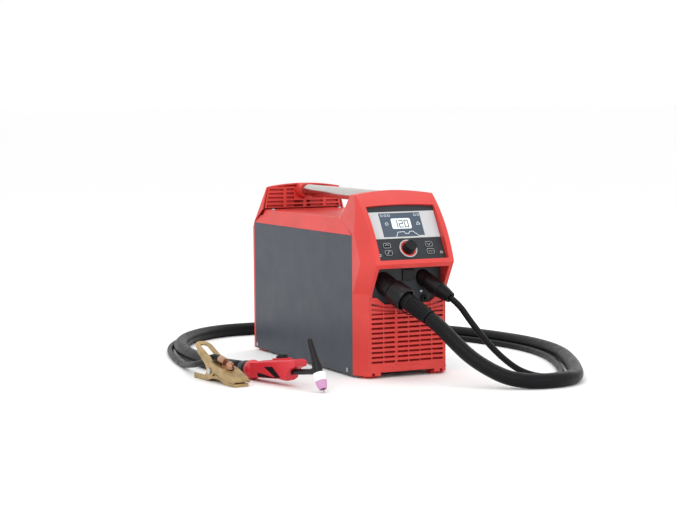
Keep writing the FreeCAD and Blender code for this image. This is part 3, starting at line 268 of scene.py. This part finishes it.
def stage_camera():
    """Seen from the front left, a little above, with a long lens."""
    azimuth, pitch, roll = (math.radians(a) for a in (-26.395, 5.362, -0.398))
    ahead = Vector((-math.sin(azimuth) * math.cos(pitch),
                    math.cos(azimuth) * math.cos(pitch),
                    -math.sin(pitch)))
    right = Vector((math.cos(azimuth), math.sin(azimuth), 0.0))
    up = right.cross(ahead)
    side = right * math.cos(roll) + up * math.sin(roll)
    top = up * math.cos(roll) - right * math.sin(roll)
    place = at(-1697.8, -3464.6, 540.5)
    data = bpy.data.cameras.new("camera")
    data.sensor_width = 36.0
    data.lens = 98.2
    data.shift_x = -0.0364
    data.shift_y = 0.0318
    camera = bpy.data.objects.new("camera", data)
    camera.matrix_world = Matrix((
        (side.x, top.x, -ahead.x, place.x),
        (side.y, top.y, -ahead.y, place.y),
        (side.z, top.z, -ahead.z, place.z),
        (0.0, 0.0, 0.0, 1.0),
    ))
    bpy.context.scene.collection.objects.link(camera)
    bpy.context.scene.camera = camera


# ---------------------------------------------------------------- mesh helpers
def mesh_of(name, bm):
    """A mesh with its faces turned outwards; the working mesh is freed."""
    bmesh.ops.recalc_face_normals(bm, faces=bm.faces)
    mesh = bpy.data.meshes.new(name)
    bm.to_mesh(mesh)
    bm.free()
    return mesh


def skin(bm, rings):
    """A closed skin over rings of points, with a face across each end."""
    loops = [[bm.verts.new(point) for point in ring] for ring in rings]
    sides = len(loops[0])
    for a, b in zip(loops, loops[1:]):
        for k in range(sides):
            bm.faces.new((a[k], a[(k + 1) % sides], b[(k + 1) % sides], b[k]))
    bm.faces.new(list(reversed(loops[0])))
    bm.faces.new(loops[-1])


def new_piece(name, mesh, slot, body=UNIT, smooth=False, material=None):
    """A piece that rides on a body, unless that is None; its look is its slot's unless one is given."""
    piece = bpy.data.objects.new(name, mesh)
    bpy.context.scene.collection.objects.link(piece)
    mesh.materials.clear()
    mesh.materials.append(material or MATERIALS[slot])
    mesh.polygons.foreach_set("use_smooth", [smooth] * len(mesh.polygons))
    if body:
        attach(piece, body)
    return piece


def softened(node, width):
    """A copy of a CAD node with its sharp edges rounded over, which stands for the node."""
    source = FRAME["nodes"][node]
    bm = bmesh.new()
    bm.from_mesh(source.data)
    bmesh.ops.remove_doubles(bm, verts=bm.verts, dist=2e-6)
    bmesh.ops.dissolve_limit(bm, angle_limit=math.radians(1.0), verts=bm.verts, edges=bm.edges)
    mesh = bpy.data.meshes.new(node + "_soft")
    bm.to_mesh(mesh)
    bm.free()
    piece = new_piece(node + "_soft", mesh, SLOT[node], source["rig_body"], smooth=True)
    bevel = piece.modifiers.new("edges", "BEVEL")
    bevel.width = width * MM
    bevel.segments = 2
    bevel.limit_method = "ANGLE"
    bevel.angle_limit = math.radians(30)
    normals = piece.modifiers.new("normals", "WEIGHTED_NORMAL")
    normals.weight = 100
    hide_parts(node)


# ---------------------------------------------------------------- cords
TORCH_AT = Vector((-46.0, -238.0, 186.0))
TORCH_U = Vector((0.40, -0.77, -0.50)).normalized()
WORK_AT = Vector((40.0, -238.0, 194.0))
WORK_U = Vector((0.38, -0.80, -0.47)).normalized()
TORCH_PLUG_L = 119.0   # from the panel to the boot's end
WORK_PLUG_L = 74.0
CUFF_L = 38.0
BOOT_END = TORCH_AT + TORCH_U * TORCH_PLUG_L
WORK_END = WORK_AT + WORK_U * WORK_PLUG_L
BALL_AT = Vector((-286.0, -130.0, 20.0))
HOSE_LAST = Vector((-307.0, 3.0, HZ))
CUFF_END = BALL_AT - (BALL_AT - HOSE_LAST).normalized() * CUFF_L
CLAMP_TIP = Vector((-345.0, -212.0, 0.0))
CLAMP_BACK = Vector((-0.12, 0.993, 0.0)).normalized()
JAW_ROOT = (46.0, 31.2)                    # along the clamp and up, where the upper arm's plate starts
JAW_SLOPE = math.atan2(40 - 31, 94 - 45)   # the plate rises from 31 to 40 mm between 45 and 94 mm along
BARREL_UP = 7.8                            # the lug barrel's axis over the plate
BARREL_TIP = 38.0                          # the barrel's end, along the plate
TAIL_STRAIGHT = 25.0                       # how far the lead runs straight out of the barrel


def on_clamp(along, height):
    """A point over the clamp's middle line: along from the jaw's tip, and up, in millimetres."""
    return CLAMP_TIP + CLAMP_BACK * along + Vector((0, 0, height))


def on_jaw(along, height):
    """A point of the upper arm's plate, from under the bolt, with height out of the plate."""
    c, s = math.cos(JAW_SLOPE), math.sin(JAW_SLOPE)
    root_along, root_up = JAW_ROOT
    return on_clamp(root_along + along * c - height * s, root_up + along * s + height * c)


BARREL_END = on_jaw(BARREL_TIP, BARREL_UP)
TAIL_BEND = on_jaw(BARREL_TIP + TAIL_STRAIGHT, BARREL_UP)

HOSE_ROUTE = [
    BOOT_END,
    BOOT_END + TORCH_U * 26.0,
    (27, -384, 84),
    (45, -416, 56),
    (68, -448, 35),
    (93, -477, 20),
    (127, -501, HZ),
    (167, -510.5, HZ),
    (207.5, -503.5, HZ),
    (242, -481, HZ),
    (272, -437, HZ),
    (320, -351, HZ),
    (354, -282, HZ),
    (390, -202, HZ),
    (416, -110, HZ),
    (425, -12, HZ),
    (414, 85, HZ),
    (393, 178, HZ),
    (360, 265, HZ),
    (308, 345, HZ),
    (238, 416, HZ),
    (150, 475, HZ),
    (55, 518, HZ),
    (-40, 537, HZ),
    (-122, 514, HZ),
    (-194, 453, HZ),
    (-248, 370, HZ),
    (-284, 275, HZ),
    (-303, 180, HZ),
    (-311, 90, HZ),
    HOSE_LAST,
    CUFF_END,
]

CABLE_ROUTE = [
    WORK_END - WORK_U * 12.0,
    WORK_END + WORK_U * 20.0,
    (90, -333, 118),
    (105, -354, 88),
    (121, -374, 62),
    (137, -393, 41),
    (158, -410, 22),
    (190, -422, 10),
    (228, -419, CZ),
    (262, -397.5, CZ),
    (290, -353, CZ),
    (333, -270, CZ),
    (366, -192, CZ),
    (392, -105, CZ),
    (401, -14, CZ),
    (391, 76, CZ),
    (376, 142, CZ),
    (357, 204, CZ),
    (322, 281, CZ),
    (276, 345, CZ),
    (226, 394, CZ),
    (190, 424, 24),
    (159, 452, 48),
    (113, 503, 49),
    (80, 538, 25),
    (42, 566, CZ),
    (-10, 582, CZ),
    (-70, 574, CZ),
    (-138, 540, CZ),
    (-196, 487, CZ),
    (-246, 420, CZ),
    (-284, 345, CZ),
    (-311, 266, CZ),
    (-330, 192, CZ),
    (-343, 128, CZ),
    (-352, 74, 9),
    (-360, 26, 15),
    (-366.5, -20, 22),
    (-363.6, -60, 31),
    TAIL_BEND,
    BARREL_END,
]


def spline_path(name, route):
    """Points along the smooth line that a route of control points gives."""
    curve = bpy.data.curves.new(name, "CURVE")
    curve.dimensions = "3D"
    curve.resolution_u = 8
    spline = curve.splines.new("NURBS")
    spline.points.add(len(route) - 1)
    for point, place in zip(spline.points, route):
        point.co = (*at(*place), 1.0)
    spline.order_u = 3
    spline.use_endpoint_u = True
    line = bpy.data.objects.new(name, curve)
    bpy.context.scene.collection.objects.link(line)
    bpy.context.view_layer.update()
    mesh = bpy.data.meshes.new_from_object(line.evaluated_get(bpy.context.evaluated_depsgraph_get()))
    path = [v.co.copy() for v in mesh.vertices]
    bpy.data.objects.remove(line)
    bpy.data.meshes.remove(mesh)
    return path


def tube_mesh(name, path, radius, sides, off_line=(0, 0, 1)):
    """A closed round tube that follows a path without twisting; off_line isn't along its start."""
    tangent = (path[1] - path[0]).normalized()
    side = tangent.cross(Vector(off_line)).normalized()
    turns = [2 * math.pi * k / sides for k in range(sides)]
    rings = []
    for i, place in enumerate(path):
        ahead = (path[min(i + 1, len(path) - 1)] - path[max(i - 1, 0)]).normalized()
        side = (side - ahead * side.dot(ahead)).normalized()
        up = ahead.cross(side)
        rings.append([place + (side * math.cos(t) + up * math.sin(t)) * radius for t in turns])
    bm = bmesh.new()
    skin(bm, rings)
    return mesh_of(name, bm)


def make_hose():
    path = spline_path("hose_line", HOSE_ROUTE)
    mesh = tube_mesh("hose", path, HOSE_D / 2 * MM, 36)
    hose = new_piece("hose", mesh, "black_rubber", smooth=True)
    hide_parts("torch_hose")


def make_cable():
    """The work lead is one jacket that rides on no body; near the clamp it ends at the barrel on the clamp's
    upper arm.
    """
    path = spline_path("cable_line", CABLE_ROUTE)
    mesh = tube_mesh("cable", path, CABLE_D / 2 * MM, 24)
    cable = new_piece("cable", mesh, "black_rubber", body=None, smooth=True)
    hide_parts("work_cable", "work_cable_tail")
    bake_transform(cable)


# ---------------------------------------------------------------- details on the unit
FASCIA_FOOT = Vector((0.0, -265.0, 238.0))
FASCIA_UP = Vector((0.0, 0.585, 1.0)).normalized()
FASCIA_OUT = Vector((0.0, -1.0, 0.585)).normalized()
KEYS = [(-49.0, 29.6), (-49.0, 13.8), (44.3, 29.6), (44.3, 13.8)]
KEY_FACE = 0.95        # heights over the fascia
GLASS_FACE = 0.65
DIGIT_FACE = GLASS_FACE + 0.14
MARK_HALF = 0.06       # half a mark's thickness
BOX_AT = (-4.5, 77)    # middle of the reading's box
FIGURES = "120"
FIGURE_AT = (-21, 69)  # the first figure's lower left corner
FIGURE_PITCH = 12
FASCIA_SCREWS = [(-69.5, 9.0), (68.0, 10.5)]
SCREW_R = 3.4
SOCKET_R = 1.5

GRILLE_HALF = 80       # half the slats' width
GRILLE_SLATS = 11
GRILLE_FOOT = 28.0     # the lowest slat's lower edge
GRILLE_PITCH = 9.6
LOUVRE_ROWS = 5
LOUVRE_FOOT = 316.0
LOUVRE_PITCH = 8.8
LOUVRE_OUTER = 84      # the lowest slats' ends, from the middle
LOUVRE_INNER = 20


def on_fascia(x, s, height):
    """A point of the fascia: across, up its slope and out of it, in millimetres."""
    return at(*(FASCIA_FOOT + Vector((x, 0, 0)) + FASCIA_UP * s + FASCIA_OUT * height))


def fascia_slab(bm, corners, height):
    """A thin plate with this outline, centred at a height over the fascia."""
    skin(bm, [[on_fascia(x, s, height + rise) for x, s in corners] for rise in (-MARK_HALF, MARK_HALF)])


def fascia_strokes(bm, points, width, height, closed=False):
    """A thin raised line through points of the fascia."""
    ends = points[1:] + (points[:1] if closed else [])
    for (x0, s0), (x1, s1) in zip(points, ends):
        along = Vector((x1 - x0, s1 - s0))
        side = Vector((-along.y, along.x)).normalized() * width / 2
        tip = along.normalized() * width / 2
        a = Vector((x0, s0)) - tip
        b = Vector((x1, s1)) + tip
        fascia_slab(bm, [a - side, b - side, b + side, a + side], height)


def rounded_box(x, s, w, h, r):
    """Corner points of a rounded rectangle round a centre."""
    points = []
    for cx, cs, start in ((1, 1, 0), (-1, 1, 90), (-1, -1, 180), (1, -1, 270)):
        mid_x = x + cx * (w / 2 - r)
        mid_s = s + cs * (h / 2 - r)
        for step in (0, 45, 90):
            turn = math.radians(start + step)
            points.append((mid_x + r * math.cos(turn), mid_s + r * math.sin(turn)))
    return points


SEGMENTS = {"0": "abcdef", "1": "bc", "2": "abged"}


def digit(bm, text, x, s, w, h, height):
    """One seven-segment figure."""
    lines = {"a": ((0, 2), (1, 2)), "b": ((1, 2), (1, 1)), "c": ((1, 1), (1, 0)), "d": ((0, 0), (1, 0)),
             "e": ((0, 0), (0, 1)), "f": ((0, 1), (0, 2)), "g": ((0, 1), (1, 1))}
    for letter in SEGMENTS[text]:
        points = [(x + px * w, s + ps * h / 2) for px, ps in lines[letter]]
        fascia_strokes(bm, points, 1.8, height)


def display_marks():
    """Reading box, weld current curve and small plain signs on the display."""
    box_x, box_s = BOX_AT
    bm = bmesh.new()
    fascia_slab(bm, rounded_box(box_x, box_s, 43, 23, 3), GLASS_FACE)
    curve = [(-35, 44.5), (-23, 46.5), (-17, 58), (-3, 59), (-1, 54.5),
             (7, 54.5), (9, 59), (17, 59), (29, 48.6), (41, 49)]
    fascia_strokes(bm, curve, 0.9, GLASS_FACE)
    fascia_strokes(bm, [(-8, 45), (17, 45)], 1.4, GLASS_FACE)
    for x in (-44, -36, -28, 30, 38):
        fascia_strokes(bm, rounded_box(x, 95.5, 4.5, 4, 1), 0.6, GLASS_FACE, closed=True)
    fascia_strokes(bm, rounded_box(-37, box_s, 6, 6, 2.9), 0.8, GLASS_FACE, closed=True)
    fascia_strokes(bm, [(29, 74), (33, 80), (37, 74)], 0.8, GLASS_FACE, closed=True)
    new_piece("display_marks", mesh_of("display_marks", bm), "white_plastic", material=WHITE_MARKS)
    bm = bmesh.new()
    x, s = FIGURE_AT
    for place, text in enumerate(FIGURES):
        digit(bm, text, x + place * FIGURE_PITCH, s, 7.5, 15, DIGIT_FACE)
    new_piece("display_digits", mesh_of("display_digits", bm), "anthracite_plastic")


def key_marks():
    """Each key's rounded outline and plain sign, which move with it."""
    signs = [[(-4, 0), (0, 2.6), (4, 0)],
             [(-4, -2), (-1, -2), (-1, 2), (4, 2)],
             [(-4, 2), (0, -2), (4, 2)],
             [(-4, 0), (4, 0)]]
    for i, ((x, s), sign) in enumerate(zip(KEYS, signs), 1):
        bm = bmesh.new()
        fascia_strokes(bm, rounded_box(x, s, 15.5, 10.4, 2.2), 0.6, KEY_FACE, closed=True)
        fascia_strokes(bm, [(x + a, s + b) for a, b in sign], 0.8, KEY_FACE)
        name = "key_%d_mark" % i
        new_piece(name, mesh_of(name, bm), "silver_plastic", FRAME["nodes"]["key_%d" % i]["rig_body"])


def blade(bm, x0, x1, low, high, thickness=1.2):
    """A slanted slat between a low and a high (y, z) edge."""
    corners = []
    for x in (x0, x1):
        for y, z in (low, high):
            corners += [at(x, y, z), at(x, y + thickness, z)]
    v = [bm.verts.new(c) for c in corners]
    for face in ((0, 2, 3, 1), (4, 5, 7, 6), (0, 4, 6, 2), (1, 3, 7, 5), (0, 1, 5, 4), (2, 6, 7, 3)):
        bm.faces.new([v[k] for k in face])


def vent_blades():
    """Slats behind the grille's and the louvre's slots, in a darker red that paints the shade inside the
    slots.
    """
    bm = bmesh.new()
    for row in range(GRILLE_SLATS):
        z = GRILLE_FOOT + row * GRILLE_PITCH
        blade(bm, -GRILLE_HALF, GRILLE_HALF, (-238.6, z), (-230.5, z + 8.2))
    # a plain strip closes the top slots, where the connector panel stands right behind them; it takes the
    # same darker red of painted shade
    blade(bm, -GRILLE_HALF, GRILLE_HALF, (-239.6, 128.5), (-239.6, 145.5), 1.0)
    new_piece("grille_blades", mesh_of("grille_blades", bm), "red_plastic", material=PAINTED_SHADE_RED)
    bm = bmesh.new()
    for row in range(LOUVRE_ROWS):
        z = LOUVRE_FOOT + row * LOUVRE_PITCH
        outer = LOUVRE_OUTER - row    # the insert narrows upwards
        for x0, x1 in ((-outer, -LOUVRE_INNER), (LOUVRE_INNER, outer)):
            blade(bm, x0, x1, (254.6, z), (256.8, z + 7.0), 0.8)
    new_piece("louvre_blades", mesh_of("louvre_blades", bm), "red_plastic", material=PAINTED_SHADE_RED)


def round_disc(bm, frame, radius, thickness, sides=28):
    """A disc in a frame, drawn in a little at its outer face."""
    bmesh.ops.create_cone(bm, cap_ends=True, segments=sides, radius1=radius * MM, radius2=radius * MM * 0.9,
                          depth=thickness * MM, matrix=frame)


def fascia_screws():
    """Bright screw heads in the fascia's two lower corners, each with a thin black disc of painted shade in
    its socket.
    """
    turn = FASCIA_OUT.to_track_quat("Z", "Y").to_matrix().to_4x4()
    for i, (x, s) in enumerate(FASCIA_SCREWS, 1):
        bm = bmesh.new()
        round_disc(bm, Matrix.Translation(on_fascia(x, s, 0.5)) @ turn, SCREW_R, 0.9)
        new_piece("fascia_screw_%d" % i, mesh_of("fascia_screw", bm), "zinc_steel")
        # a thin black disc on each head: painted shade where the screw's socket is
        bm = bmesh.new()
        round_disc(bm, Matrix.Translation(on_fascia(x, s, 0.98)) @ turn, SOCKET_R, 0.12, sides=6)
        new_piece("screw_socket_%d" % i, mesh_of("painted_socket_shade", bm), "black_plastic")


# ---------------------------------------------------------------- details on the torch and its plug
# the torch's own axis runs from the ball end to the head
HEAD_AT = Vector((-239.0, -330.0, 44.0))
TORCH_X = (HEAD_AT - BALL_AT).normalized()
TORCH_Y = Vector((0, 0, 1)).cross(TORCH_X).normalized()
TORCH_Z = TORCH_X.cross(TORCH_Y)

# pairs of a distance from the grip's middle plane and how far the outline is drawn in there
INLAY_LAYERS = [(14.2, 0.0), (15.4, 0.0), (15.9, 0.6)]
GRIP_WEDGE = [(35, -5), (97, -17), (60, -15), (35, -13)]
GRIP_BAR = [(58, 6), (84, 6), (108, -16), (93, -16)]


def on_torch(x, y, z):
    """A point of the torch: along its axis, to its side and up, in millimetres."""
    return at(*(BALL_AT + TORCH_X * x + TORCH_Y * y + TORCH_Z * z))


def torch_inlay(name, outline, side):
    """A soft black inlay that stands a little out of the grip's flat side."""
    mid_x = sum(x for x, z in outline) / len(outline)
    mid_z = sum(z for x, z in outline) / len(outline)
    rings = []
    for depth, inset in INLAY_LAYERS:
        ring = []
        for x, z in outline:
            keep = 1 - inset / max(abs(x - mid_x), abs(z - mid_z), 1.0)
            ring.append(on_torch(mid_x + (x - mid_x) * keep, side * depth, mid_z + (z - mid_z) * keep))
        rings.append(ring)
    bm = bmesh.new()
    skin(bm, rings)
    new_piece(name, mesh_of(name, bm), "black_rubber")


def panel_button():
    """Light push button beside the work socket."""
    bm = bmesh.new()
    frame = Matrix.Translation(at(33.0, -239.2, 169.5)) @ Matrix.Rotation(math.radians(90), 4, "X")
    round_disc(bm, frame, 2.6, 2.0)
    new_piece("panel_button", mesh_of("panel_button", bm), "silver_plastic")


def plug_wire_loop():
    """Thin control wire that loops from the torch plug's shell back into the boot."""
    across = TORCH_U.cross(Vector((0, 0, 1))).normalized()
    down = TORCH_U.cross(across).normalized()
    steps = [(50, 19.5), (56, 22.0), (64, 23.6), (73, 22.6), (80, 19.2), (84, 15.2)]
    path = [at(*(TORCH_AT + TORCH_U * a + down * r)) for a, r in steps]
    wire = tube_mesh("plug_wire", path, 1.2 * MM, 10, off_line=(0.3, 0.2, 1))
    new_piece("plug_wire", wire, "black_plastic", smooth=True)


def torch_inlays():
    for label, side in (("near", -1), ("far", 1)):
        torch_inlay("grip_wedge_" + label, GRIP_WEDGE, side)
        torch_inlay("grip_bar_" + label, GRIP_BAR, side)


# ---------------------------------------------------------------- materials
RED = (0.62, 0.040, 0.032)
MATERIALS = {
    "red_plastic": moulded("red_plastic", RED, 0.4, 0.00003),
    "grey_paint": powder_coat("grey_paint", (0.028, 0.036, 0.052), 0.42),
    "anthracite_plastic": moulded("anthracite_plastic", (0.022, 0.026, 0.031), 0.5, specular=0.35),
    "black_plastic": moulded("black_plastic", (0.005, 0.005, 0.006), 0.36, specular=0.28),
    "black_rubber": rubber("black_rubber", (0.0035, 0.0035, 0.0045)),
    "steel": metal("steel", (0.56, 0.54, 0.51), 0.16, (1, 0.02, 1), 1500, 0.000002, 0.03),
    "zinc_steel": metal("zinc_steel", (0.5, 0.5, 0.5), 0.35),
    "yellow_steel": metal("yellow_steel", (0.38, 0.27, 0.13), 0.36, scale=500, stains=0.25),
    "copper": metal("copper", (0.50, 0.30, 0.20), 0.38, stains=0.25),
    "silver_plastic": moulded("silver_plastic", (0.54, 0.55, 0.56), 0.36),
    "display_plastic": moulded("display_plastic", (0.06, 0.085, 0.12), 0.12, 0.000001),
    "white_plastic": moulded("white_plastic", (0.78, 0.78, 0.78), 0.5),
    "pink_ceramic": moulded("pink_ceramic", (0.55, 0.27, 0.47), 0.45),
    "tungsten": metal("tungsten", (0.3, 0.3, 0.31), 0.3),
    "torch_red": moulded("torch_red", (0.62, 0.02, 0.035), 0.36),
    "board_green": moulded("board_green", (0.02, 0.13, 0.05), 0.35),
    "aluminium": metal("aluminium", (0.7, 0.7, 0.71), 0.4),
    "iron": metal("iron", (0.10, 0.09, 0.08), 0.6),
}

# a darker copy of the red: painted shade for the slats and strip seen through the vent slots
PAINTED_SHADE_RED = moulded("painted_shade_red", (0.55, 0.03, 0.028), 0.5)
WHITE_MARKS = glowing("display_white", (0.72, 0.78, 0.82), 0.25)

# the hard nodes whose edges are rounded, and how far, in millimetres
EDGES = [("front_cover", 2.0), ("rear_cover", 1.4), ("front_grille", 0.4)]

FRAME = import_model()
SLOT = {s["node"]: s["material_slot"] for s in FRAME["record"]["subparts"]}

for node, thing in FRAME["nodes"].items():
    thing.data.materials.clear()
    thing.data.materials.append(MATERIALS[SLOT[node]])

stage_floor()
stage_lights()
stage_camera()
torch_inlays()
plug_wire_loop()
make_hose()
make_cable()
display_marks()
key_marks()
vent_blades()
fascia_screws()
panel_button()
for hard_node, hard_width in EDGES:
    softened(hard_node, hard_width)
